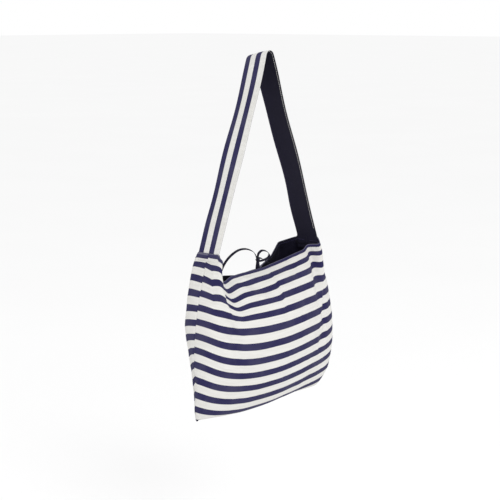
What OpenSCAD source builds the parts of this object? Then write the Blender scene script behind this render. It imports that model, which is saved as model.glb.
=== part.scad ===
// Lined canvas shoulder bag that hangs by its strap from a peg.
// X runs across the bag, -Y is its front, +Z is up. The origin is the axis of the
// bend that the strap makes over the peg.

/* [Bag] */
// Height from the top of the strap to the bottom seam
total_h = 650; // [600:1:700]
// Height of a panel along its side seams
panel_h = 300; // [280:1:320]
// Half width between the side seams at the mouth
mouth_half_w = 140; // [130:1:150]
// How much farther out the side seams run low down
side_flare = 42; // [30:1:50]
// How far the bottom corners are drawn in
corner_tuck = 12; // [0:1:16]
// How far each panel bulges at mid height
bulge = 50; // [35:1:60]
// Half depth of the ear at each end of the strap
ear_half_d = 32; // [30:1:36]
// How far the tie pulls the two mouth edges together, on each side
tie_pull = 38; // [30:1:39]
// How far the mouth edge sags between the ears
mouth_sag = 45; // [35:1:60]

/* [Cloth] */
// Thickness of the striped canvas
canvas_t = 1.2; // [0.8:0.1:1.2]
// Thickness of the lining
lining_t = 0.8; // [0.5:0.1:1.0]
// Depth of the lining's outer face under the canvas face
lining_depth = 2.4; // [2.4:0.1:3.0]
// Thickness of the sewing thread
thread_t = 0.5; // [0.4:0.1:0.8]

/* [Strap] */
// Width of the strap
strap_w = 50; // [40:1:50]
// Radius of the bend over the peg
peg_r = 9; // [8:0.5:12]
// Thickness of the strap's inner layer
strap_lining_t = 1.3; // [1.0:0.1:1.5]
// Thickness of the strap's striped outer layer
strap_outer_t = 1.6; // [1.2:0.1:1.8]
// Inset of the strap's edge stitching
strap_stitch_inset = 3; // [2:0.5:5]

/* [Tie] */
// Width of the tie ribbons
ribbon_w = 5; // [4:0.5:6]
// Thickness of the tie ribbons
ribbon_t = 1.2; // [1.0:0.1:1.4]

/* [Hidden] */

navy = [0.24, 0.22, 0.42];
dark_navy = [0.13, 0.12, 0.2];
off_white = [0.92, 0.92, 0.89];

strap_gap = 0.1;
strap_top_r = peg_r + strap_lining_t + strap_gap + strap_outer_t;
bottom_z = strap_top_r - total_h;
hinge_z = bottom_z + panel_h;
strap_t = strap_top_r - peg_r;
// Each strap leg comes down just inside the ear's lining.
leg_gap = 1;
leg_foot_x = mouth_half_w - lining_depth - lining_t - 3 * leg_gap;
leg_lean = atan((leg_foot_x - strap_t - peg_r) / -hinge_z);
columns = 32;
rows = 20;

// Powers that shape the panels: fullness of the middle, and flatness of the ears.
middle_power = 1.5;
ear_power = 12;
sag_power = 3.2;
// The tie gathers the front edge nearly straight, and the back edge only near the middle.
front_gather = 0.7;
back_gather = 0.35;
// Share of the height below which the tie and the sag have no effect.
gather_from = 0.6;

function rise(v) = max(0, (v - gather_from) / (1 - gather_from));
function half_width(v) =
    mouth_half_w + side_flare * (1 - pow(v, 2.2)) - corner_tuck * pow(1 - v, 6);
function gather(u, side) = side < 0 ? exp(-pow(abs(u) / front_gather, 8))
                                    : exp(-pow(abs(u) / back_gather, 2));
function half_depth(u, v, side) =
    ear_half_d * inward(u, v)
    + bulge * sin(167 * pow(v, 0.75)) * (1 - pow(abs(u), middle_power))
    - tie_pull * pow(rise(v), 1.5) * gather(u, side);
// Share of an inward move that a point takes along Y.
function inward(u, v) = sqrt(v) * (1 - pow(abs(u), ear_power));
// Point at a depth under the canvas face: u is -1..1 from the left to the right side
// seam, v is 0..1 from the bottom seam to the mouth, side is -1 in front and 1 behind.
function under(u, v, side, depth) = [
    (half_width(v) - depth) * sin(90 * u),
    side * (half_depth(u, v, side) - depth * inward(u, v)),
    bottom_z + depth + (panel_h - depth) * v
        - mouth_sag * pow(rise(v), 1.5) * (1 - pow(abs(u), sag_power))];

// Closed solid between two grids of the same size, each a list of rows of points.
module slab(outer, inner) {
    n = len(outer[0]);
    m = len(outer);
    points = concat([for (row = outer) each row], [for (row = inner) each row]);
    back = n * m;
    rim = concat([for (i = [0 : n - 1]) i],
                 [for (j = [1 : m - 1]) j * n + n - 1],
                 [for (i = [n - 2 : -1 : 0]) (m - 1) * n + i],
                 [for (j = [m - 2 : -1 : 1]) j * n]);
    faces = concat(
        [for (j = [0 : m - 2], i = [0 : n - 2], k = [0, 1])
            let (a = j * n + i, b = a + 1, c = a + n + 1, d = a + n)
            k == 0 ? [a, c, b] : [a, d, c]],
        [for (j = [0 : m - 2], i = [0 : n - 2], k = [0, 1])
            let (a = back + j * n + i, b = a + 1, c = a + n + 1, d = a + n)
            k == 0 ? [a, b, c] : [a, c, d]],
        [for (i = [0 : len(rim) - 1], k = [0, 1])
            let (a = rim[i], b = rim[(i + 1) % len(rim)])
            k == 0 ? [a, b, a + back] : [b, b + back, a + back]]);
    polyhedron(points, faces, convexity = 6);
}

// Columns of a panel, -1..1. They lie closer together near the side seams.
function across(i) = (cos(180 * i / columns) + 1 - 2 * i / columns) / 2;
// Rows of a panel, 0..1. They lie closer together near the bottom.
function up(j) = pow(j / rows, 1.3);

// One layer of a panel, from one depth to a deeper one.
module layer(side, depth, thickness) {
    function grid(d) = [for (j = [0 : rows])
        [for (i = [0 : columns]) under(side * across(i), up(j), side, d)]];
    slab(grid(depth), grid(depth + thickness));
}

// A narrow strip of cloth that wraps round a side seam, between two heights.
module seam_wrap(end, reach, from_v, to_v, steps, depth, thickness) {
    function spot(k, v, d) =
        let (side = k < 0 ? -1 : 1, p = under(end * (1 - abs(k) * reach), v, side, d))
        [p.x, k == 0 ? 0 : p.y, p.z];
    ks = [-1, -0.7, -0.4, -0.15, 0, 0.15, 0.4, 0.7, 1];
    function grid(d) = [for (j = [0 : steps]) let (v = from_v + (to_v - from_v) * j / steps)
        [for (k = ks) spot(end * k, v, d)]];
    slab(grid(depth), grid(depth + thickness));
}

module front_panel() { color(off_white) layer(-1, 0, canvas_t); }
module back_panel() { color(off_white) layer(1, 0, canvas_t); }
module front_lining() { color(dark_navy) layer(-1, lining_depth, lining_t); }
module back_lining() { color(dark_navy) layer(1, lining_depth, lining_t); }

// The turned-in edges of the canvas lie between the canvas and the lining.
turned_gap = 0.3;
turned_t = lining_depth - canvas_t - 2 * turned_gap;
strap_end_v = 0.9;
seam_reach = 0.06;
module side_seam(end) {
    seam_wrap(end, seam_reach, 0.03, strap_end_v - 0.01, 16, canvas_t + turned_gap, turned_t);
}
module left_side_seam() { color(navy) side_seam(-1); }
module right_side_seam() { color(navy) side_seam(1); }

module bottom_seam() {
    seam_w = 9;
    seam_span = 2 * 0.93 * (mouth_half_w + side_flare - corner_tuck);
    color(navy) translate([-seam_span / 2, -turned_t, bottom_z + canvas_t + lining_depth + lining_t])
        cube([seam_span, 2 * turned_t, seam_w]);
}

// A row of stitching, a thread that stands just off the canvas under the mouth edge.
// Its points lie over the edges of the panel's top row.
module mouth_stitching(side) {
    stand_off = 0.85;
    share = 0.6;
    route = [for (i = [1 : columns - 2], k = [i, i + 1])
        under(side * across(i), up(rows - 1), side, -stand_off) * (1 - share)
        + under(side * across(k), 1, side, -stand_off) * share];
    sweep(route, [for (p = route) [0, 0, 1]], thread_t, thread_t, 6);
}
module front_mouth_stitching() { color(off_white) mouth_stitching(-1); }
module back_mouth_stitching() { color(off_white) mouth_stitching(1); }

// One layer of the strap: a bend over the peg and two straight legs, which end just
// above the line that they swing on.
module strap_layer(inner_r, thickness, width) {
    reach = 2 * strap_top_r;
    run = (-hinge_z - inner_r * sin(leg_lean)) / cos(leg_lean) + reach;
    rotate([90, 0, 0]) difference() {
        cylinder(r = inner_r + thickness, h = width, center = true, $fn = 96);
        cylinder(r = inner_r, h = width + 2, center = true, $fn = 96);
        for (end = [0, 1]) mirror([end, 0, 0]) rotate([0, 0, leg_lean])
            translate([0, -reach, -width]) cube([reach, reach, 2 * width]);
        translate([-reach, -reach, -width]) cube([2 * reach, reach, 2 * width]);
    }
    for (end = [0, 1]) mirror([end, 0, 0]) difference() {
        rotate([0, -leg_lean, 0]) translate([inner_r, -width / 2, -run])
            cube([thickness, width, run]);
        translate([0, -width, hinge_z + leg_gap - 3 * reach])
            cube([mouth_half_w * 2, 2 * width, 3 * reach]);
    }
}
outer_layer_r = peg_r + strap_lining_t + strap_gap;
module strap_lining() { color(dark_navy) strap_layer(peg_r, strap_lining_t, strap_w); }
module strap_outer() { color(off_white) strap_layer(outer_layer_r, strap_outer_t, strap_w); }
module strap_stitching(side) {
    translate([0, side * (strap_w / 2 - strap_stitch_inset), 0])
        strap_layer(strap_top_r + 0.02, thread_t, 2 * thread_t);
}
module strap_front_stitching() { color(off_white) strap_stitching(-1); }
module strap_back_stitching() { color(off_white) strap_stitching(1); }

// The sewn ends of the strap, held between the canvas and the lining of each ear.
module strap_end(end) {
    seam_wrap(end, 0.1, strap_end_v, 0.99, 4, canvas_t + turned_gap, turned_t);
}
module left_strap_end() { color(dark_navy) strap_end(-1); }
module right_strap_end() { color(dark_navy) strap_end(1); }

// The row of thread across each ear that holds the strap's end.
module strap_tack(end) {
    seam_wrap(end, 0.1, 0.953, 0.957, 1, -thread_t, thread_t - 0.02);
}
module left_strap_tack() { color(off_white) strap_tack(-1); }
module right_strap_tack() { color(off_white) strap_tack(1); }

// Routes of the two tie ribbons, from the mouth edge through the knot, round a loop
// and out along a tail.
knot_at = [-6, 0, -367];
front_route = [
    [-6, -0.9, -390], [-6, -0.9, -381], [-6, -0.6, -374], knot_at,
    [-7, -1, -360], [-5, -1.5, -354], [2, -2, -350], [11, -2.5, -351], [19, -2.5, -355],
    [23, -2.5, -360], [20, -2.5, -365], [12, -2, -367.5], [2, -1, -369], [-6, 0, -368],
    [-9, 1, -360], [-14, 2, -352], [-24, 3, -346], [-38, 4, -342.5], [-54, 5, -343.5],
    [-70, 6, -350], [-83, 7, -359.5], [-94, 7, -372], [-101, 7, -389], [-104, 7, -407]];
back_route = [
    [-6, 0.9, -390], [-6, 0.9, -381], [-6, 0.6, -374], knot_at,
    [-1, 1.5, -364], [6, 3, -365], [14, 4, -369], [24, 5, -374], [33, 5.5, -380],
    [39, 6, -389], [42, 6, -402], [43, 6, -415], [43, 6, -428]];
function unit(p) = p / norm(p);
// The ribbon leaves the mouth edge lying flat on it and turns edge-on before the knot.
function ribbon_across(i) = unit([max(0, 1 - i / 3), min(1, i / 3), 0]);
// A tube along a route, with a direction for its width at each point. Width and
// thickness are between flats.
module sweep(route, across, width, thick, sides) {
    n = len(route);
    flat_w = cos(180 / sides);
    flat_t = sin(180 / sides * (floor(sides / 4) + 0.5));
    function along(i) = unit(route[min(n - 1, i + 1)] - route[max(0, i - 1)]);
    function ring(i) =
        let (t = along(i), w0 = across[i], w = unit(w0 - (w0 * t) * t), h = cross(t, w))
        [for (k = [0 : sides - 1]) let (a = 360 * (k + 0.5) / sides)
            route[i] + w * cos(a) * width / 2 / flat_w + h * sin(a) * thick / 2 / flat_t];
    points = [for (i = [0 : n - 1]) each ring(i)];
    last = (n - 1) * sides;
    faces = concat(
        [[for (k = [0 : sides - 1]) k]],
        [for (i = [0 : n - 2], k = [0 : sides - 1], c = [0, 1])
            let (a = i * sides + k, b = i * sides + (k + 1) % sides)
            c == 0 ? [a, a + sides, b] : [b, a + sides, b + sides]],
        [[for (k = [sides - 1 : -1 : 0]) last + k]]);
    polyhedron(points, faces, convexity = 6);
}
module ribbon(route) {
    sweep(route, [for (i = [0 : len(route) - 1]) ribbon_across(i)], ribbon_w, ribbon_t, 8);
}
module front_tie() { color(dark_navy) ribbon(front_route); }
module back_tie() { color(dark_navy) ribbon(back_route); }
module bow_knot() {
    knot_r = 3.4;
    knot_w = 5;
    color(dark_navy) translate(knot_at) rotate([0, 90, 0]) rotate_extrude($fn = 48)
        translate([0, -knot_w / 2]) square([knot_r, knot_w]);
}

front_panel();
back_panel();
front_lining();
back_lining();
left_side_seam();
right_side_seam();
bottom_seam();
front_mouth_stitching();
back_mouth_stitching();
strap_outer();
strap_lining();
strap_front_stitching();
strap_back_stitching();
left_strap_end();
right_strap_end();
left_strap_tack();
right_strap_tack();
front_tie();
back_tie();
bow_knot();
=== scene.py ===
"""A lined, striped canvas shoulder bag that hangs by its strap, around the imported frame."""

import math

import bpy
import numpy as np
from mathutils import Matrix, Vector, noise


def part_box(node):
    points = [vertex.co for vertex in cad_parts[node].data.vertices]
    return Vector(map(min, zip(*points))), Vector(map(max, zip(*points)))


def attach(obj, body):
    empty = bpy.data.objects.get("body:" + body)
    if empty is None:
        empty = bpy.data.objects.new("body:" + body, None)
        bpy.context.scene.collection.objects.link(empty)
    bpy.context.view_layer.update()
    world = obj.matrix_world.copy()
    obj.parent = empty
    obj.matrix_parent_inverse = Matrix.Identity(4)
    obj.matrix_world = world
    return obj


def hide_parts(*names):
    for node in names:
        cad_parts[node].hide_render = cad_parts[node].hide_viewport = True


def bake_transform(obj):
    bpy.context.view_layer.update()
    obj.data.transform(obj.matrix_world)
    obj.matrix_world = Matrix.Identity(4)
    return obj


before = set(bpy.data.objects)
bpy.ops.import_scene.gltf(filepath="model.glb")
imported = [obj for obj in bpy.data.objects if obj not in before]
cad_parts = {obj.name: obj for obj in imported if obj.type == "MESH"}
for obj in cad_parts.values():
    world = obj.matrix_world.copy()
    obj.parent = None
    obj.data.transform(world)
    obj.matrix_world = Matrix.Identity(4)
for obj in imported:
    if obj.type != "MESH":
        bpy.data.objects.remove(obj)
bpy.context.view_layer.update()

# ---------------------------------------------------------------- sizes, in metres

MM = 0.001
front_low, front_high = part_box("front_panel")
strap_low, strap_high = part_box("strap_outer")
BOTTOM_Z = front_low.z
HINGE_Z = front_high.z
PANEL_H = HINGE_Z - BOTTOM_Z
PANEL_W = 420 * MM
STRAP_W = strap_high.y - strap_low.y
PEG_R = 9 * MM
CANVAS_T = 1.2 * MM
LINING_T = 0.7 * MM
LINING_DEPTH = 2.4 * MM
STRIPE_PITCH = PANEL_H / 12
NAVY_SHARE = 0.45
STRAP_NAVY_SHARE = 0.47
HEM_NAVY_SHIFT = 4.5 * MM
BACK_STRIPE_SHIFT = 2.5 * MM
# The strap's ends hold the cloth flat at this distance from each side seam, over the top rows
# of a panel. Each lower row stands farther out.
EAR_PINNED = 26 * MM
EAR_ROWS = 4
EAR_SPREAD = 0.6 * MM

# ---------------------------------------------------------------- camera

CAMERA_AZIMUTH = math.radians(47.9)
CAMERA_YAW = math.radians(0.42)
CAMERA_PITCH = math.radians(9.62)
CAMERA_DISTANCE = 2.5
CAMERA_ABOVE_BOTTOM = 0.713
LENS_MM = 99.1


def add_camera():
    data = bpy.data.cameras.new("camera")
    camera = bpy.data.objects.new("camera", data)
    bpy.context.scene.collection.objects.link(camera)
    camera.location = (
        -CAMERA_DISTANCE * math.sin(CAMERA_AZIMUTH),
        -CAMERA_DISTANCE * math.cos(CAMERA_AZIMUTH),
        BOTTOM_Z + CAMERA_ABOVE_BOTTOM,
    )
    ahead = CAMERA_AZIMUTH - CAMERA_YAW
    look = Vector((
        math.sin(ahead) * math.cos(CAMERA_PITCH),
        math.cos(ahead) * math.cos(CAMERA_PITCH),
        -math.sin(CAMERA_PITCH),
    ))
    camera.rotation_euler = look.to_track_quat("-Z", "Y").to_euler()
    data.sensor_width = 36
    data.lens = LENS_MM
    bpy.context.scene.camera = camera


add_camera()

# ---------------------------------------------------------------- mesh helpers


def smoothstep(x):
    x = np.clip(x, 0, 1)
    return x * x * (3 - 2 * x)


def unit(v):
    return v / np.maximum(np.linalg.norm(v, axis=-1, keepdims=True), 1e-12)


def make_mesh(name, points, faces, material, uv=None, smooth=True):
    """An object from points and faces. uv gives one pair for each point."""
    mesh = bpy.data.meshes.new(name)
    mesh.from_pydata([tuple(p) for p in points], [], [tuple(f) for f in faces])
    mesh.materials.append(material)
    mesh.polygons.foreach_set("use_smooth", [smooth] * len(mesh.polygons))
    if uv is not None:
        layer = mesh.uv_layers.new(name="cloth")
        corners = np.empty(len(mesh.loops), np.int32)
        mesh.loops.foreach_get("vertex_index", corners)
        layer.data.foreach_set("uv", np.asarray(uv, np.float32)[corners].ravel())
    mesh.update()
    piece = bpy.data.objects.new(name, mesh)
    bpy.context.scene.collection.objects.link(piece)
    return piece


def grid_faces(rows, columns, start=0, flip=False):
    faces = []
    for j in range(rows - 1):
        for i in range(columns - 1):
            a = start + j * columns + i
            quad = (a, a + 1, a + columns + 1, a + columns)
            faces.append(quad[::-1] if flip else quad)
    return faces


def solid(name, outer, inner, material, uv):
    """A closed solid between two grids of points, rows by columns by 3."""
    rows, columns = outer.shape[:2]
    count = rows * columns
    points = np.concatenate([outer.reshape(-1, 3), inner.reshape(-1, 3)])
    faces = grid_faces(rows, columns) + grid_faces(rows, columns, count, True)
    rim = (
        list(range(columns))
        + [j * columns + columns - 1 for j in range(1, rows)]
        + [(rows - 1) * columns + i for i in range(columns - 2, -1, -1)]
        + [j * columns for j in range(rows - 2, 0, -1)]
    )
    for a, b in zip(rim, rim[1:] + rim[:1]):
        faces.append((a, a + count, b + count, b))
    pairs = np.concatenate([uv.reshape(-1, 2)] * 2)
    return make_mesh(name, points, faces, material, pairs)


def resample(grid, at, axis):
    """Catmull-Rom values of a grid at fractional places along one of its axes."""
    g = np.moveaxis(grid, axis, 0)
    padded = np.concatenate([[2 * g[0] - g[1]], g, [2 * g[-1] - g[-2]]])
    k = np.minimum(at.astype(int), len(g) - 2)
    f = (at - k).reshape((-1,) + (1,) * (g.ndim - 1))
    p0, p1, p2, p3 = (padded[k + o] for o in range(4))
    out = 0.5 * (
        2 * p1 + (p2 - p0) * f + (2 * p0 - 5 * p1 + 4 * p2 - p3) * f ** 2
        + (3 * p1 - p0 - 3 * p2 + p3) * f ** 3)
    return np.moveaxis(out, 0, axis)


def tube(name, path, widths, thicks, across, material, sides):
    """A flat or round tube along a path, with a width, a thickness and a width
    direction at each of its points."""
    path = np.asarray(path, float)
    n = len(path)
    along = unit(np.gradient(path, axis=0))
    across = unit(across - (across * along).sum(1, keepdims=True) * along)
    up = np.cross(along, across)
    angle = 2 * math.pi * (np.arange(sides) + 0.5) / sides
    rings = (
        path[:, None]
        + across[:, None] * np.cos(angle)[None, :, None] * widths[:, None, None] / 2
        + up[:, None] * np.sin(angle)[None, :, None] * thicks[:, None, None] / 2
    )
    points = np.concatenate([rings.reshape(-1, 3), path[:1], path[-1:]])
    faces = []
    for i in range(n - 1):
        for k in range(sides):
            a, b = i * sides + k, i * sides + (k + 1) % sides
            faces.append((a, b, b + sides, a + sides))
    for k in range(sides):
        faces.append((n * sides, (k + 1) % sides, k))
        a = (n - 1) * sides
        faces.append((n * sides + 1, a + k, a + (k + 1) % sides))
    run = np.concatenate([[0], np.cumsum(np.linalg.norm(np.diff(path, axis=0), axis=1))])
    uv = np.stack([
        np.repeat(run, sides),
        np.tile(np.cos(angle), n) * np.repeat(widths, sides) / 2,
    ], 1)
    uv = np.concatenate([uv, [[0, 0], [run[-1], 0]]])
    return make_mesh(name, points, faces, material, uv)


# ---------------------------------------------------------------- materials


class Nodes:
    """Short calls for making a material's nodes."""

    def __init__(self, name):
        self.material = bpy.data.materials.new(name)
        self.material.use_nodes = True
        self.tree = self.material.node_tree
        self.shader = self.tree.nodes["Principled BSDF"]

    def put(self, kind, **settings):
        node = self.tree.nodes.new(kind)
        for key, value in settings.items():
            setattr(node, key, value)
        return node

    def feed(self, socket, value):
        if isinstance(value, bpy.types.NodeSocket):
            self.tree.links.new(value, socket)
        else:
            socket.default_value = value

    def math(self, operation, a, b=0.0, c=0.0, clamp=False):
        node = self.put("ShaderNodeMath", operation=operation, use_clamp=clamp)
        for socket, value in zip(node.inputs, (a, b, c)):
            self.feed(socket, value)
        return node.outputs[0]

    def mix(self, share, a, b):
        node = self.put("ShaderNodeMix", data_type="RGBA")
        self.feed(node.inputs[0], share)
        self.feed(node.inputs[6], a)
        self.feed(node.inputs[7], b)
        return node.outputs[2]

    def remap(self, value, low, high, to_low=0.0, to_high=1.0):
        """The value moved smoothly from one range to another."""
        node = self.put("ShaderNodeMapRange", interpolation_type="SMOOTHSTEP")
        for socket, number in zip(node.inputs, (value, low, high, to_low, to_high)):
            self.feed(socket, number)
        return node.outputs[0]

    def cloth_uv(self):
        node = self.put("ShaderNodeUVMap", uv_map="cloth")
        split = self.put("ShaderNodeSeparateXYZ")
        self.tree.links.new(node.outputs[0], split.inputs[0])
        return node.outputs[0], split.outputs[0], split.outputs[1]

    def noise(self, vector, scale, detail=2.0, stretch=(1, 1, 1)):
        place = self.put("ShaderNodeMapping")
        place.inputs["Scale"].default_value = stretch
        self.feed(place.inputs["Vector"], vector)
        node = self.put("ShaderNodeTexNoise")
        self.feed(node.inputs["Vector"], place.outputs[0])
        node.inputs["Scale"].default_value = scale
        node.inputs["Detail"].default_value = detail
        return node.outputs["Fac"]

    def bump(self, height, strength, distance, under=None):
        node = self.put("ShaderNodeBump")
        node.inputs["Strength"].default_value = strength
        node.inputs["Distance"].default_value = distance
        self.feed(node.inputs["Height"], height)
        if under is not None:
            self.feed(node.inputs["Normal"], under)
        return node.outputs[0]

    def finish(self, colour, roughness, normal, sheen=0.2, specular=0.25):
        self.feed(self.shader.inputs["Base Color"], colour)
        self.feed(self.shader.inputs["Roughness"], roughness)
        self.feed(self.shader.inputs["Normal"], normal)
        self.shader.inputs["Sheen Weight"].default_value = sheen
        self.shader.inputs["Sheen Roughness"].default_value = 0.5
        self.shader.inputs["Specular IOR Level"].default_value = specular
        return self.material


NAVY = (0.016, 0.014, 0.060, 1)
NAVY_LIGHT = (0.030, 0.027, 0.098, 1)
WHITE = (0.80, 0.79, 0.77, 1)
WHITE_SHADE = (0.64, 0.63, 0.60, 1)
DARK = (0.0060, 0.0052, 0.014, 1)
DARK_LIGHT = (0.013, 0.0115, 0.027, 1)
YARN = 0.9 * MM


def weave(n, u, v, pitch):
    """Height of a twill weave: ribs that step sideways from yarn to yarn."""
    warp = n.math("SINE", n.math("MULTIPLY", u, 2 * math.pi / pitch))
    weft = n.math("SINE", n.math("MULTIPLY", v, 2 * math.pi / pitch))
    slant = n.math("SINE", n.math("MULTIPLY", n.math("ADD", u, v), math.pi / pitch))
    plain = n.math("MULTIPLY", warp, weft)
    return n.math("MULTIPLY_ADD", slant, 0.55, n.math("MULTIPLY", plain, 0.45))


def striped_canvas(name, across_is_v, stripe_at):
    """Canvas with woven stripes. stripe_at makes two shares from u and v: how navy the cloth
    is, and how much its edges are rubbed."""
    n = Nodes(name)
    vector, u, v = n.cloth_uv()
    height = weave(n, u, v, YARN)
    slub = n.noise(vector, 260.0, 2.0, (0.08, 1, 1) if across_is_v else (1, 0.08, 1))
    cloud = n.noise(vector, 22.0, 3.0)
    edge = n.math("MULTIPLY_ADD", height, 0.10 * MM, n.math("MULTIPLY", slub, 0.5 * MM))
    navy, rubbed = stripe_at(n, u, v, edge)
    # Painted shade: the weave's hollows are coloured darker and its crests lighter, mixed with
    # the real tone of thick and thin threads.
    weave_shade_and_slub = n.math("MULTIPLY_ADD", height, 0.35, n.math("MULTIPLY_ADD", slub, 0.9, -0.1),
                   clamp=True)
    white = n.mix(weave_shade_and_slub, WHITE_SHADE, WHITE)
    blue = n.mix(weave_shade_and_slub, NAVY, NAVY_LIGHT)
    colour = n.mix(navy, white, blue)
    colour = n.mix(n.remap(cloud, 0.35, 0.75, 0.0, 0.05), colour, (0.45, 0.44, 0.46, 1))
    colour = n.mix(n.math("MULTIPLY", rubbed, slub), colour, (0.42, 0.41, 0.45, 1))
    bump = n.bump(height, 0.55, 0.25 * MM, n.bump(slub, 0.35, 0.3 * MM))
    roughness = n.remap(slub, 0.2, 0.8, 0.82, 0.95)
    return n.finish(colour, roughness, bump, sheen=0.03, specular=0.15)


def across_panel(n, u, v, edge):
    """Navy from the mouth edge down, every STRIPE_PITCH, with the height on v."""
    down = n.math("SUBTRACT", PANEL_H + HEM_NAVY_SHIFT, n.math("ADD", v, edge))
    phase = n.math("FRACT", n.math("DIVIDE", down, STRIPE_PITCH))
    navy = n.math("SUBTRACT", 1.0, n.remap(phase, NAVY_SHARE, NAVY_SHARE + 0.03))
    from_middle = n.math("ABSOLUTE", n.math("SUBTRACT", v, PANEL_H / 2))
    return navy, n.remap(from_middle, PANEL_H / 2 - 1.5 * MM, PANEL_H / 2, 0.0, 0.5)


def along_strap(n, u, v, edge):
    """Navy, white, navy, white from the back edge to the front, with the width on v."""
    down = n.math("SUBTRACT", STRAP_W / 2, n.math("ADD", v, edge))
    phase = n.math("FRACT", n.math("DIVIDE", down, STRAP_W / 2))
    navy = n.math("SUBTRACT", 1.0, n.remap(phase, STRAP_NAVY_SHARE, STRAP_NAVY_SHARE + 0.03))
    from_middle = n.math("ABSOLUTE", v)
    return navy, n.remap(from_middle, STRAP_W / 2 - 1.2 * MM, STRAP_W / 2, 0.0, 0.5)


def plain_cotton(name, colour, light, pitch=0.7 * MM):
    """Cloth of one colour, woven at a pitch, with thick and thin threads in it."""
    n = Nodes(name)
    vector, u, v = n.cloth_uv()
    height = weave(n, u, v, pitch)
    slub = n.noise(vector, 300.0, 2.0, (0.1, 1, 1))
    cloud = n.noise(vector, 18.0, 3.0)
    # Painted shade: the weave's hollows are coloured darker and its crests lighter, mixed with
    # the real tone of thick and thin threads.
    weave_shade_and_slub = n.math("MULTIPLY_ADD", height, 0.3, n.math("MULTIPLY", slub, 0.8), clamp=True)
    base = n.mix(weave_shade_and_slub, colour, light)
    base = n.mix(n.remap(cloud, 0.4, 0.8, 0.0, 0.25), base, light)
    bump = n.bump(height, 0.5, 0.2 * MM, n.bump(slub, 0.3, 0.25 * MM))
    return n.finish(base, n.remap(slub, 0.2, 0.8, 0.8, 0.93), bump, 0.03, 0.12)


def ribbon_cloth(name):
    """Narrow woven tape with fine ribs across it."""
    n = Nodes(name)
    vector, u, v = n.cloth_uv()
    ribs = n.math("SINE", n.math("MULTIPLY", u, 2 * math.pi / (0.8 * MM)))
    slub = n.noise(vector, 400.0, 2.0, (1, 0.3, 1))
    # Painted shade: the grooves between the ribs are coloured darker and their crests lighter,
    # mixed with the real tone of thick and thin threads.
    base = n.mix(n.math("MULTIPLY_ADD", ribs, 0.35, slub, clamp=True), DARK, DARK_LIGHT)
    bump = n.bump(ribs, 0.5, 0.15 * MM, n.bump(slub, 0.3, 0.2 * MM))
    return n.finish(base, n.remap(slub, 0.2, 0.8, 0.68, 0.85), bump, sheen=0.04, specular=0.15)


def thread_cloth(name, colour, light):
    """Sewing thread, mottled by its plies."""
    n = Nodes(name)
    place = n.put("ShaderNodeTexCoord").outputs["Object"]
    ply = n.noise(place, 900.0, 1.0, (1, 1, 0.4))
    base = n.mix(ply, colour, light)
    return n.finish(base, n.remap(ply, 0.2, 0.8, 0.6, 0.8), n.bump(ply, 0.4, 0.1 * MM), 0.2)


canvas = striped_canvas("canvas", True, across_panel)
strap_canvas = striped_canvas("strap_canvas", False, along_strap)
lining_cotton = plain_cotton("lining_cotton", DARK, DARK_LIGHT)
strap_cotton = plain_cotton("strap_cotton", DARK, DARK_LIGHT, 0.8 * MM)
turned_canvas = plain_cotton("turned_canvas", NAVY, NAVY_LIGHT)
ribbon_tape = ribbon_cloth("ribbon_tape")
navy_thread = thread_cloth("navy_thread", NAVY, NAVY_LIGHT)
white_thread = thread_cloth("white_thread", WHITE_SHADE, WHITE)

# ---------------------------------------------------------------- tie ribbons

RIBBON_W = 5 * MM
RIBBON_T = 1.0 * MM
KNOT_AT = (-6, 0, -367)
FRONT_ROUTE = [
    (-6, -2.4, -390), (-6, -2.4, -381), (-6, -1.3, -374), KNOT_AT,
    (-7, -1, -360), (-5, -1.5, -354), (2, -2, -350), (11, -2.5, -351), (19, -2.5, -355),
    (23, -2.5, -360), (20, -2.5, -365), (12, -2, -367.5), (2, -1, -369), (-6, 0, -368),
    (-9, 1, -360), (-14, 2, -352), (-24, 3, -346), (-38, 4, -342.5), (-54, 5, -343.5),
    (-70, 6, -350), (-83, 7, -359.5), (-94, 7, -372), (-101, 7, -389), (-104, 7, -407)]
BACK_ROUTE = [
    (-6, 2.4, -390), (-6, 2.4, -381), (-6, 1.3, -374), KNOT_AT,
    (-1, 1.5, -364), (6, 3, -365), (14, 4, -369), (24, 5, -374), (33, 5.5, -380),
    (39, 6, -389), (42, 6, -402), (43, 6, -415), (43, 6, -428)]


def add_ribbon(name, route, node):
    step = np.arange((len(route) - 1) * 6 + 1) / 6
    path = resample(np.array(route, float) * MM, step, 0)
    share = np.clip(step - 3, 0, 1)
    across = np.stack([0.67 * (1 - share), -0.74 + 1.74 * share, 0.7 * share], 1)
    widths = np.full(len(path), RIBBON_W)
    thicks = np.full(len(path), RIBBON_T)
    piece = tube(name, path, widths, thicks, across, ribbon_tape, 12)
    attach(piece, "bag")
    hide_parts(node)


def add_knot():
    """Two turns of ribbon drawn tight round the standing parts."""
    centre = np.array(KNOT_AT) * MM
    stations = 61
    turns = np.linspace(0, 2 * math.pi * 2.0, stations)
    radius = (3.0 + 0.25 * np.sin(3 * turns)) * MM
    path = centre + np.stack([
        (turns / turns[-1] - 0.5) * 2.6 * MM,
        radius * np.cos(turns),
        radius * np.sin(turns),
    ], 1)
    across = np.tile([1.0, 0.15, 0.1], (len(path), 1))
    piece = tube(
        "bow_knot_wrap", path, np.full(stations, 4.2 * MM), np.full(stations, 1.3 * MM),
        across, ribbon_tape, 10)
    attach(piece, "bag")
    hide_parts("bow_knot")
    return piece


knot = add_knot()
add_ribbon("front_tie_ribbon", FRONT_ROUTE, "front_tie")
add_ribbon("back_tie_ribbon", BACK_ROUTE, "back_tie")

# ---------------------------------------------------------------- the draped bag

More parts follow.
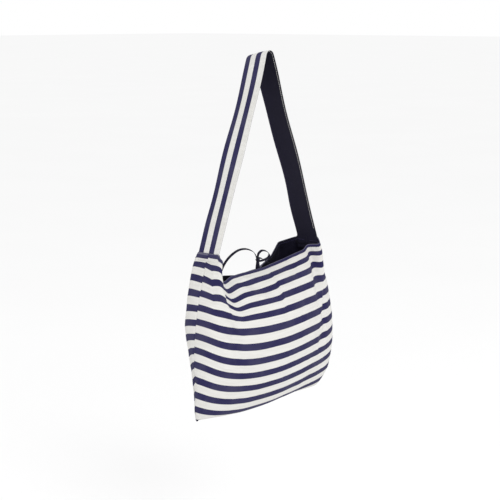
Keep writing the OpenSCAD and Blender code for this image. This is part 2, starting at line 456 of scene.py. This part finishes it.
COLUMNS = 84
ROWS = 60
MOUTH_HALF_W = 140 * MM
SIDE_FLARE = 42 * MM
CORNER_TUCK = 12 * MM
BULGE = 50 * MM
EAR_HALF_D = 32 * MM
MOUTH_SAG = 45 * MM
TIE_PULL = 38 * MM
EAR_X = 137 * MM
PLEAT_DRIFT = 0.36
CLOTH_EASE = 0.015
CLOTH_FRAMES = 25
BELLY_SMOOTHING = 24
SEAM_HELD_UP = 9 * MM
LOW_RIGHT_SWELL = 12 * MM
CORNER_LIFT = 13 * MM
CORNER_IN = 5 * MM

# The mouth edge as the tie and the strap gather it. Each row is a distance from the side
# seam along the edge, then a place: half width, depth, and height from the strap's ends, all
# in millimetres.
FRONT_LEFT_EDGE = [
    (0, 137, 0, 0), (32, 137, -31, -5), (39, 132, -34, -12), (66, 123, -10, -36),
    (84, 111, -12, -55), (108, 91, -11, -46), (210, 4, -5, -43)]
FRONT_RIGHT_EDGE = [
    (0, 137, 0, 0), (32, 137, -31, -5), (39, 132, -34, -12), (66, 123, -10, -14),
    (84, 111, -12, -22), (210, 4, -5, -43)]
BACK_LEFT_EDGE = [
    (0, 137, 0, 0), (30, 137, 29, -4), (80, 112, 55, -34), (130, 78, 42, -54),
    (170, 38, 23, -55), (210, 4, 5, -45)]
BACK_RIGHT_EDGE = [
    (0, 137, 0, 0), (30, 137, 29, -4), (80, 112, 55, -15), (130, 78, 42, -34),
    (210, 4, 5, -45)]


def plain_bag(u, v, side):
    """The hanging bag before its mouth is gathered: u from seam to seam, v upwards."""
    rise = np.clip((v - 0.6) / 0.4, 0, 1) ** 1.5
    pull = np.where(side < 0, np.exp(-(np.abs(u) / 0.7) ** 8), np.exp(-(np.abs(u) / 0.35) ** 2))
    half_w = MOUTH_HALF_W + SIDE_FLARE * (1 - v ** 2.2) - CORNER_TUCK * (1 - v) ** 6
    half_d = (
        EAR_HALF_D * np.sqrt(v) * (1 - np.abs(u) ** 12)
        + BULGE * np.sin(np.radians(167 * v ** 0.75)) * (1 - np.abs(u) ** 1.5)
        - TIE_PULL * rise * pull)
    return np.stack([
        half_w * np.sin(math.pi / 2 * u),
        side * half_d,
        BOTTOM_Z + PANEL_H * v - MOUTH_SAG * rise * (1 - np.abs(u) ** 3.2)], -1)


def gathered_edge(s, side):
    """The mouth edge at signed distances s from the middle of a panel."""
    if side < 0:
        left, right = FRONT_LEFT_EDGE, FRONT_RIGHT_EDGE
    else:
        left, right = BACK_LEFT_EDGE, BACK_RIGHT_EDGE
    out = np.zeros((len(s), 3))
    for table, sign in ((left, -1), (right, 1)):
        rows = np.array(table, float) * MM
        here = (s < 0) if sign < 0 else (s >= 0)
        q = PANEL_W / 2 - np.abs(s[here])
        for k in range(3):
            out[here, k] = np.interp(q, rows[:, 0], rows[:, k + 1])
        out[here, 0] *= sign
    out[:, 2] += HINGE_Z
    soft = out.copy()
    soft[1:-1] = (out[:-2] + 2 * out[1:-1] + out[2:]) / 4
    return soft


def below_level(u, v, side):
    """How far the cloth hangs below where it would if its stripes stayed level. The side
    seams hold it up, and the belly, in millimetres, sags between them and rounds under the
    bottom."""
    if side < 0:
        belly = np.interp(u, [-1, -0.9, -0.75, -0.5, -0.25, 0, 0.35, 0.7, 0.9, 1],
                          [0, 1, 5, 15, 21, 18, 10, 8, 5, 0])
    else:
        belly = np.interp(u, [-1, -0.85, 0, 0.85, 1], [0, 5, 15, 5, 0])
    for _ in range(BELLY_SMOOTHING):
        belly[:, 1:-1] = (belly[:, :-2] + 2 * belly[:, 1:-1] + belly[:, 2:]) / 4
    low = (1 - np.exp(-v / 0.035)) * (1 - smoothstep((v - 0.35) / 0.6))
    beside_seam = np.exp(-((1 - np.abs(u)) / 0.3) ** 2)
    held = smoothstep(v / 0.4) * smoothstep((1 - v) / 0.1) * beside_seam
    return MM * belly * low - SEAM_HELD_UP * held


def gather(grid, s, v, side):
    """Draws the top of a panel in to its gathered edge. The folds beside the front's ears run
    down and away from the side seams."""
    shift = gathered_edge(s, side) - grid[-1]
    share = smoothstep((v - 0.58) / 0.32)
    for j in range(ROWS + 1):
        drift = PLEAT_DRIFT * (1 - v[j]) * PANEL_H if side < 0 else 0
        q = np.maximum(PANEL_W / 2 - np.abs(s) - drift, 0)
        from_s = np.sign(s) * (PANEL_W / 2 - q)
        for k in range(3):
            grid[j, :, k] += share[j] * np.interp(from_s, s, shift[:, k])


def fill_out(grid, u, v, side):
    """Sags the belly, slackens the low left of the back, swells the low right, and lifts and
    draws in the corner under it."""
    grid[..., 2] -= below_level(u, v, side)
    if side > 0:
        slack = smoothstep((-u - 0.2) / 0.6) * smoothstep((0.6 - v) / 0.3)
        grid[..., 1] *= 1 - (0.5 + 0.35 * smoothstep((0.4 - v) / 0.3)) * slack
    fullness = smoothstep((u - 0.3) / 0.7) * smoothstep((v - 0.02) / 0.14)
    grid[..., 0] += LOW_RIGHT_SWELL * fullness * (1 - smoothstep((v - 0.3) / 0.5))
    corner = smoothstep((u - 0.72) / 0.28) * (1 - smoothstep(v / 0.16))
    grid[..., 2] += CORNER_LIFT * corner
    grid[..., 0] -= CORNER_IN * corner


def flatten_ears(grid, s, side):
    """Lays the cloth beside the side seams flat against the strap's sewn ends."""
    seam_side = PANEL_W / 2 - np.abs(s)
    held = seam_side <= EAR_PINNED
    for k in range(EAR_ROWS):
        row = grid[ROWS - k]
        row[held, 0] = np.sign(s[held]) * (EAR_X + EAR_SPREAD * k)
        row[held, 1] = side * seam_side[held] * 0.98
        row[held, 2] = HINGE_Z - k * PANEL_H / ROWS


def start_grid(side):
    """A panel before the simulation, as rows of points from the bottom up."""
    s = np.linspace(-PANEL_W / 2, PANEL_W / 2, COLUMNS + 1)
    v = np.linspace(0, 1, ROWS + 1)
    u_all, v_all = np.meshgrid(s / (PANEL_W / 2), v)
    grid = plain_bag(u_all, v_all, side)
    gather(grid, s, v, side)
    fill_out(grid, u_all, v_all, side)
    flatten_ears(grid, s, side)
    return grid


def drape():
    """Both panels as grids, sewn along their sides and bottom, after their cloth settles
    below the mouth edge, which the strap and the tie hold."""
    front, back = start_grid(-1), start_grid(1)
    back[:, 0], back[:, -1], back[0] = front[:, 0], front[:, -1], front[0]
    count = front.shape[0] * front.shape[1]
    number_front = np.arange(count).reshape(front.shape[:2])
    number_back = number_front.copy()
    inner = number_back[1:, 1:-1]
    inner[:] = count + np.arange(inner.size).reshape(inner.shape)
    points = np.concatenate([front.reshape(-1, 3), back[1:, 1:-1].reshape(-1, 3)])
    s = np.linspace(-PANEL_W / 2, PANEL_W / 2, COLUMNS + 1)
    faces = []
    for j in range(ROWS):
        for i in range(COLUMNS):
            for numbers, turn in ((number_front, 1), (number_back, -1)):
                quad = (numbers[j, i], numbers[j, i + 1],
                        numbers[j + 1, i + 1], numbers[j + 1, i])
                faces.append([int(n) for n in quad[::turn]])
    mesh = bpy.data.meshes.new("draping")
    mesh.from_pydata([tuple(p) for p in points], [], faces)
    cloth_bag = bpy.data.objects.new("draping", mesh)
    bpy.context.scene.collection.objects.link(cloth_bag)
    cloth_bag.shape_key_add(name="Basis")
    rest = cloth_bag.shape_key_add(name="cut_with_ease")
    centre = points.mean(0)
    eased = centre + (points - centre) * (1 + CLOTH_EASE)
    rest.data.foreach_set("co", eased.astype(np.float32).ravel())
    held = [
        int(numbers[ROWS - k, i])
        for numbers in (number_front, number_back)
        for k in range(EAR_ROWS)
        for i in range(COLUMNS + 1) if k == 0 or PANEL_W / 2 - abs(s[i]) <= EAR_PINNED]
    group = cloth_bag.vertex_groups.new(name="sewn_to_strap")
    group.add(held, 1.0, "ADD")
    modifier = cloth_bag.modifiers.new("Cloth", "CLOTH")
    cloth = modifier.settings
    cloth.quality = 10
    cloth.mass = 0.02
    cloth.tension_stiffness = 40
    cloth.compression_stiffness = 40
    cloth.shear_stiffness = 10
    cloth.bending_stiffness = 0.5
    cloth.tension_damping = 10
    cloth.compression_damping = 10
    cloth.shear_damping = 10
    cloth.bending_damping = 0.5
    cloth.air_damping = 3
    cloth.vertex_group_mass = "sewn_to_strap"
    cloth.pin_stiffness = 1
    cloth.use_pressure = True
    cloth.uniform_pressure_force = 3
    cloth.rest_shape_key = rest
    cloth.effector_weights.gravity = 0.6
    modifier.collision_settings.use_collision = False
    modifier.point_cache.frame_start = 1
    modifier.point_cache.frame_end = CLOTH_FRAMES
    for number in range(1, CLOTH_FRAMES + 1):
        bpy.context.scene.frame_set(number)
    settled = cloth_bag.evaluated_get(bpy.context.evaluated_depsgraph_get())
    place = np.empty(len(points) * 3, np.float32)
    settled.data.vertices.foreach_get("co", place)
    place = place.reshape(-1, 3).astype(float)
    bpy.data.objects.remove(cloth_bag)
    bpy.context.scene.frame_set(1)
    return place[number_front], place[number_back]


def crumple(grid, seed):
    """Small hollows and ridges, square to the cloth, that fade out at the seams."""
    normals = grid_normals(grid)
    rows, columns = grid.shape[:2]
    out = grid.copy()
    for j in range(rows):
        for i in range(columns):
            at = Vector(grid[j, i] + seed)
            fade = min(1.0, j / 10, i / 10, (columns - 1 - i) / 10)
            lift = 0.9 * MM * noise.noise(at * 28) + 0.35 * MM * noise.noise(at * 75)
            out[j, i] += normals[j, i] * lift * fade
    return out


def grid_normals(grid):
    """Normals of a grid, on the side from which its columns run left to right."""
    across = np.gradient(grid, axis=1)
    up = np.gradient(grid, axis=0)
    return unit(np.cross(across, up))


def close_places(count, near):
    """Positions along a grid side of count cells: half cells, and closer ones at its ends."""
    middle = np.arange(2, 2 * count - 1) / 2
    ends = np.array([0, *near])
    return np.concatenate([ends, middle, (count - ends)[::-1]])


column_at = close_places(COLUMNS, (0.1, 0.22, 0.36, 0.55, 0.75))
row_at = close_places(ROWS, (0.1, 0.22, 0.36, 0.55, 0.75))
front_rough, back_rough = drape()
front_grid = resample(resample(crumple(front_rough, (0, 0, 0)), column_at, 1), row_at, 0)
back_grid = resample(resample(crumple(back_rough, (3, 1, 2)), column_at, 1), row_at, 0)
flat_s = -PANEL_W / 2 + column_at * PANEL_W / COLUMNS
flat_t = row_at * PANEL_H / ROWS
cloth_s, cloth_t = np.meshgrid(flat_s, flat_t)
seam_q = PANEL_W / 2 - np.abs(cloth_s)
hem_q = PANEL_H - cloth_t

front_out = grid_normals(front_grid)
back_out = -grid_normals(back_grid)
for line in ((slice(None), 0), (slice(None), -1), (0, slice(None))):
    shared = unit(front_out[line] + back_out[line])
    front_out[line] = shared
    back_out[line] = shared

# Sewn edges are drawn in, which leaves a groove along each seam.
groove = 1.0 * MM * np.clip(1 - np.minimum(seam_q, cloth_t) / (2.6 * MM), 0, 1) ** 2
front_grid = front_grid - front_out * groove[..., None]
back_grid = back_grid - back_out * groove[..., None]


def inward(side, depth):
    """The grid at a depth under a panel's outer face."""
    grid, out = (front_grid, front_out) if side < 0 else (back_grid, back_out)
    return grid - out * np.broadcast_to(depth, grid.shape[:2])[..., None]


def folded_over(outer, inner):
    """Rows added at the mouth edge, so that it turns over in a round fold."""
    top = outer[-1] - outer[-2]
    rise = unit(top) * 0.5 * MM
    through = inner[-1] - outer[-1]
    return (
        np.concatenate([outer, (outer[-1] + through * 0.22 + rise * 0.8)[None]]),
        np.concatenate([inner, (inner[-1] - through * 0.22 + rise * 0.8)[None]]))


def add_layer(name, side, top_face, under_face, material, uv_shift=0.0):
    outer, inner = folded_over(inward(side, top_face), inward(side, under_face))
    uv = np.stack([cloth_s, cloth_t + uv_shift], -1)
    uv = np.concatenate([uv, uv[-1:] + (0, 0.5 * MM)])
    if side > 0:
        outer, inner, uv = outer[:, ::-1], inner[:, ::-1], uv[:, ::-1]
    piece = solid(name, outer, inner, material, uv)
    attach(piece, "bag")
    return piece


# The strap's sewn ends lie between canvas and lining, so the lining is deeper there. Along
# the rest of the mouth edge it lies close against the canvas.
ear_share = smoothstep((33 * MM - seam_q) / (6 * MM)) * smoothstep((32 * MM - hem_q) / (7 * MM))
close_share = smoothstep((9 * MM - hem_q) / (7 * MM)) * (1 - ear_share)
lining_top = (
    LINING_DEPTH + 0.75 * MM * ear_share
    - (LINING_DEPTH - CANVAS_T - 0.1 * MM) * close_share)


def add_panels():
    for word, side, shift in (("front", -1, 0.0), ("back", 1, BACK_STRIPE_SHIFT)):
        piece = add_layer(word + "_canvas", side, 0.0, CANVAS_T, canvas, shift)
        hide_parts(word + "_panel")
        piece = add_layer(
            word + "_lining_cloth", side, lining_top, lining_top + LINING_T,
            lining_cotton)
        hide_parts(word + "_lining")


add_panels()


def add_side_seam(name, end, node):
    """The turned-in edges of both panels, pressed flat inside a side seam."""
    last = (row_at * PANEL_H / ROWS < PANEL_H - 32 * MM).nonzero()[0][-1]
    first = (row_at * PANEL_H / ROWS > 10 * MM).nonzero()[0][0]
    near = (seam_q[0] <= 9 * MM) & (cloth_s[0] * end > 0)
    columns = near.nonzero()[0]
    order = columns[::-1] if end < 0 else columns
    rows = slice(first, last + 1)

    def wrap(depth):
        a = inward(-1, depth)[rows][:, order]
        b = inward(1, depth)[rows][:, order[::-1][1:]]
        both = np.concatenate([a, b], 1)
        return both if end > 0 else both[:, ::-1]

    outer, inner = wrap(CANVAS_T + 0.1 * MM), wrap(CANVAS_T + 0.95 * MM)
    spread = np.linspace(-9, 9, outer.shape[1]) * MM
    uv = np.stack(np.meshgrid(spread, flat_t[rows]), -1)
    piece = solid(name, outer, inner, turned_canvas, uv)
    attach(piece, "bag")
    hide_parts(node)


def add_bottom_seam():
    """The turned-in edges along the bottom, pressed up behind the front canvas."""
    rows = (flat_t <= 10 * MM) & (flat_t > 0.5 * MM)
    columns = np.abs(flat_s) < PANEL_W / 2 - 12 * MM
    outer = inward(-1, CANVAS_T + 0.1 * MM)[rows][:, columns]
    inner = inward(-1, CANVAS_T + 1.0 * MM)[rows][:, columns]
    uv = np.stack([cloth_s, cloth_t], -1)[rows][:, columns]
    piece = solid("bottom_seam_edges", outer, inner, turned_canvas, uv)
    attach(piece, "bag")
    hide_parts("bottom_seam")


add_side_seam("left_seam_edges", -1, "left_side_seam")
add_side_seam("right_seam_edges", 1, "right_side_seam")
add_bottom_seam()

# ---------------------------------------------------------------- stitches


STITCH = 2.6 * MM
STITCH_GAP = 0.9 * MM
THREAD_R = 0.32 * MM


def stitch_mesh(name, lines, material, node, blend=None):
    """Rows of single stitches. Each line is a pair: places along it, and the outward
    directions of the cloth there. Without a blend they ride the bag."""
    stations = np.array([-1, -0.72, 0, 0.72, 1])
    swell = np.array([0.35, 0.85, 1, 0.85, 0.35])
    sides = 6
    angle = 2 * math.pi * np.arange(sides) / sides
    points, faces = [], []
    for places, normals in lines:
        run = np.concatenate([[0], np.cumsum(np.linalg.norm(np.diff(places, axis=0), axis=1))])
        step = STITCH + STITCH_GAP
        for number in range(int((run[-1] - STITCH_GAP) / step)):
            middle = STITCH_GAP + number * step + STITCH / 2
            ts = middle + stations * STITCH / 2
            centre = np.stack([np.interp(ts, run, places[:, k]) for k in range(3)], 1)
            out = unit(np.array([np.interp(middle, run, normals[:, k]) for k in range(3)]))
            along = unit(centre[-1] - centre[0])
            out = unit(out - along * (out @ along))
            beside = np.cross(along, out)
            slant = beside * ((number % 2) - 0.5) * 0.12 * MM
            arch = 0.16 * MM * (1 - stations ** 2)
            centre = centre + out * arch[:, None] + slant * stations[:, None]
            base = len(points)
            for c, r in zip(centre, swell * THREAD_R):
                for a in angle:
                    points.append(c + beside * math.cos(a) * r * 1.1 + out * math.sin(a) * r)
            for k in range(len(stations) - 1):
                for m in range(sides):
                    a = base + k * sides + m
                    b = base + k * sides + (m + 1) % sides
                    faces.append((a, b, b + sides, a + sides))
            faces.append(tuple(base + m for m in range(sides))[::-1])
            faces.append(tuple(base + (len(stations) - 1) * sides + m for m in range(sides)))
    piece = make_mesh(name, points, faces, material)
    if blend is None:
        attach(piece, "bag")
    else:
        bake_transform(piece)
    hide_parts(node)


MOUTH_ROW = PANEL_H - 7.5 * MM


def cloth_line(side, keep, at, depth):
    """Places and outward directions along a panel at a flat height, at a depth."""
    grid = inward(side, depth)
    out = front_out if side < 0 else back_out
    fraction = np.interp(at, flat_t, np.arange(len(flat_t)))
    place = resample(grid, np.array([fraction]), 0)[0]
    direction = resample(out, np.array([fraction]), 0)[0]
    return place[keep], unit(direction[keep])


def add_mouth_stitching(side, name, node):
    """One row of stitches below the mouth edge, seen on the canvas and on the lining."""
    keep = np.abs(flat_s) < PANEL_W / 2 - 4 * MM
    outside = cloth_line(side, keep, MOUTH_ROW, -0.1 * MM)
    places, directions = cloth_line(side, keep, MOUTH_ROW, 0.0)
    fraction = np.interp([MOUTH_ROW], flat_t, np.arange(len(flat_t)))
    deep = resample(lining_top, fraction, 0)[0][keep] + LINING_T + 0.1 * MM
    inside = places - directions * deep[:, None]
    stitch_mesh(name, [outside, (inside, -directions)], navy_thread, node)


add_mouth_stitching(-1, "front_mouth_stitches", "front_mouth_stitching")
add_mouth_stitching(1, "back_mouth_stitches", "back_mouth_stitching")


def add_tack(end, name, node):
    """Two rows of stitches across an ear that hold the strap's end."""
    lines = []
    for below in (13 * MM, 16.5 * MM):
        for side in (-1, 1):
            keep = (seam_q[0] > 0.6 * MM) & (seam_q[0] < 24 * MM) & (flat_s * end > 0)
            lines.append(cloth_line(side, keep, PANEL_H - below, -0.1 * MM))
    stitch_mesh(name, lines, white_thread, node)


add_tack(-1, "left_tack_stitches", "left_strap_tack")
add_tack(1, "right_tack_stitches", "right_strap_tack")

# ---------------------------------------------------------------- strap

STRAP_PLY = 0.75 * MM
STRAP_MID_R = PEG_R + 1.8 * MM
STRAP_DEPTH = CANVAS_T + 0.1 * MM + STRAP_PLY
EAR_SLOPE = EAR_SPREAD / (PANEL_H / ROWS)


def strap_line():
    """The strap's middle line from left to right, in X and Z, and its outward directions."""
    foot = np.array([EAR_X - STRAP_DEPTH, HINGE_Z])
    lean = math.acos(STRAP_MID_R / np.linalg.norm(foot)) - math.atan2(-foot[1], foot[0])
    top = STRAP_MID_R * np.array([math.cos(lean), math.sin(lean)])
    below = np.linspace(9 * MM, 1 * MM, 5)
    inside = np.stack([foot[0] + EAR_SLOPE * below, HINGE_Z - below], 1)
    leg = foot + (top - foot) * np.linspace(0, 1, 90)[:, None]
    turn = np.linspace(lean, math.pi / 2, 12)[1:]
    arc = STRAP_MID_R * np.stack([np.cos(turn), np.sin(turn)], 1)
    right = np.concatenate([inside, leg, arc])
    fine = right.copy()
    for _ in range(3):
        fine[1:-1] = (fine[:-2] + 2 * fine[1:-1] + fine[2:]) / 4
    fine[-1] = right[-1]
    fine[-2, 1] = right[-2, 1]
    left = fine * (-1, 1)
    line = np.concatenate([left, fine[::-1][1:]])
    along = unit(np.gradient(line, axis=0))
    return line, np.stack([-along[:, 1], along[:, 0]], 1)


strap_xz, strap_normal = strap_line()
strap_run = np.concatenate([[0], np.cumsum(np.linalg.norm(np.diff(strap_xz, axis=0), axis=1))])


def strap_surface(across, lift):
    """Points of the strap: one row for each point of its line, at distances across its
    width, and lifted off its middle face by lift, one number for each column."""
    middle = strap_run[-1] / 2
    away = np.abs(strap_run - middle)
    tilt = math.radians(11.5) * (1 - smoothstep((away - 12 * MM) / (190 * MM)))
    free = smoothstep(np.minimum(strap_run, strap_run[-1] - strap_run) / (90 * MM) - 0.15)
    sway = free * 1.6 * MM * np.sin(strap_run * 17 + 0.6)
    ripple = free * 1.1 * MM * np.sin(strap_run * 29 + 1.9)
    side_lift = free * 0.9 * MM * np.sin(strap_run * 41)
    rows = []
    for k in range(len(strap_xz)):
        cup = -0.9 * MM * free[k] * (2 * across / STRAP_W) ** 2
        twist = side_lift[k] * 2 * across / STRAP_W
        off = lift + ripple[k] + cup + twist
        x = strap_xz[k, 0] + strap_normal[k, 0] * off
        y = across * math.cos(tilt[k]) + sway[k]
        z = strap_xz[k, 1] + strap_normal[k, 1] * off - across * math.sin(tilt[k])
        rows.append(np.stack([x, y, z], 1))
    return np.array(rows)


STRAP_ACROSS = np.array([
    -25, -24.8, -24.3, -23.5, -21, -17.5, -14, -10.5, -7, -3.5, 0,
    3.5, 7, 10.5, 14, 17.5, 21, 23.5, 24.3, 24.8, 25]) * MM
STRAP_EDGE = np.sqrt(np.clip(1 - ((np.abs(STRAP_ACROSS) - 24 * MM) / (1 * MM)) ** 2, 0, 1))
STRAP_FULL = np.where(np.abs(STRAP_ACROSS) < 24 * MM, 1.0, STRAP_EDGE)
SWING_BEND = ("strap", "bag", (0, 0, HINGE_Z + 70 * MM), (0, 0, HINGE_Z - 2 * MM))


def add_strap_layer(name, low, high, material, node):
    """One layer of the strap between two lifts; the lift away from the other layer is
    rounded off towards the strap's edges."""
    def lifted(lift):
        return strap_surface(STRAP_ACROSS, lift * (STRAP_FULL if abs(lift) > 0.1 * MM else 1))

    uv = np.stack(np.meshgrid(STRAP_ACROSS, strap_run), -1)[..., ::-1]
    outer = lifted(high)
    inner = lifted(low)
    piece = solid(name, outer, inner, material, uv)
    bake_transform(piece)
    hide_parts(node)


add_strap_layer("strap_striped_canvas", 0.03 * MM, STRAP_PLY, strap_canvas, "strap_outer")
add_strap_layer("strap_inner_cotton", -STRAP_PLY, -0.03 * MM, strap_cotton, "strap_lining")


def add_strap_stitching(name, across, material, node):
    lines = []
    rows = slice(9, -9)
    for lift, sign in ((STRAP_PLY + 0.1 * MM, 1), (-STRAP_PLY - 0.1 * MM, -1)):
        places = strap_surface(np.array([across]), lift)[rows, 0]
        normals = np.stack([strap_normal[:, 0], 0 * strap_run, strap_normal[:, 1]], 1)[rows]
        lines.append((places, sign * normals))
    stitch_mesh(name, lines, material, node, SWING_BEND)


add_strap_stitching("strap_front_stitches", -22 * MM, white_thread, "strap_front_stitching")
add_strap_stitching("strap_back_stitches", 22 * MM, navy_thread, "strap_back_stitching")


def add_strap_end(end, name, node):
    """The part of the strap that is sewn in, between the canvas and the lining of an ear."""
    across = STRAP_ACROSS if end > 0 else STRAP_ACROSS[::-1]
    below = np.linspace(25 * MM, 9.5 * MM, 8)

    def face(depth):
        x = EAR_X - depth + EAR_SLOPE * below
        grid = np.zeros((len(below), len(across), 3))
        grid[..., 0] = end * x[:, None]
        grid[..., 1] = across[None]
        grid[..., 2] = HINGE_Z - below[:, None]
        return grid

    uv = np.stack(np.meshgrid(across, below), -1)
    piece = solid(name, face(CANVAS_T + 0.1 * MM), face(CANVAS_T + 1.6 * MM), strap_cotton, uv)
    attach(piece, "bag")
    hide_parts(node)


add_strap_end(-1, "left_strap_sewn_end", "left_strap_end")
add_strap_end(1, "right_strap_sewn_end", "right_strap_end")

# ---------------------------------------------------------------- floor and light


def floor_material():
    n = Nodes("pale_floor")
    place = n.put("ShaderNodeTexCoord").outputs["Object"]
    cloud = n.noise(place, 1.5, 2.0)
    colour = n.mix(cloud, (0.93, 0.93, 0.93, 1), (0.95, 0.95, 0.95, 1))
    return n.finish(colour, 0.95, n.bump(cloud, 0.05, 1 * MM), 0.0, 0.0)


def add_floor():
    half = 60.0
    low = BOTTOM_Z - 0.3
    corners = [(-half, -half, low), (half, -half, low), (half, half, low), (-half, half, low)]
    make_mesh("floor", corners, [(0, 1, 2, 3)], floor_material(), smooth=False)


def add_lamp(name, azimuth, height, distance, size, watts):
    """A soft square lamp that faces the bag, at an azimuth from the camera's own."""
    turn = CAMERA_AZIMUTH + math.radians(azimuth)
    data = bpy.data.lights.new(name, "AREA")
    data.shape = "SQUARE"
    data.size = size
    data.energy = watts
    lamp = bpy.data.objects.new(name, data)
    bpy.context.scene.collection.objects.link(lamp)
    lamp.location = (-distance * math.sin(turn), -distance * math.cos(turn), height)
    to_bag = Vector((0, 0, -0.4)) - lamp.location
    lamp.rotation_euler = to_bag.to_track_quat("-Z", "Y").to_euler()


def add_light():
    add_lamp("key", -30, 1.0, 2.4, 1.6, 24)
    add_lamp("fill", 55, 0.4, 2.8, 2.0, 3)
    world = bpy.data.worlds.new("studio")
    bpy.context.scene.world = world
    world.use_nodes = True
    ground = world.node_tree.nodes["Background"]
    ground.inputs["Color"].default_value = (1, 1, 1, 1)
    ground.inputs["Strength"].default_value = 1.0
    bpy.context.scene.view_settings.view_transform = "Standard"


add_floor()
add_light()
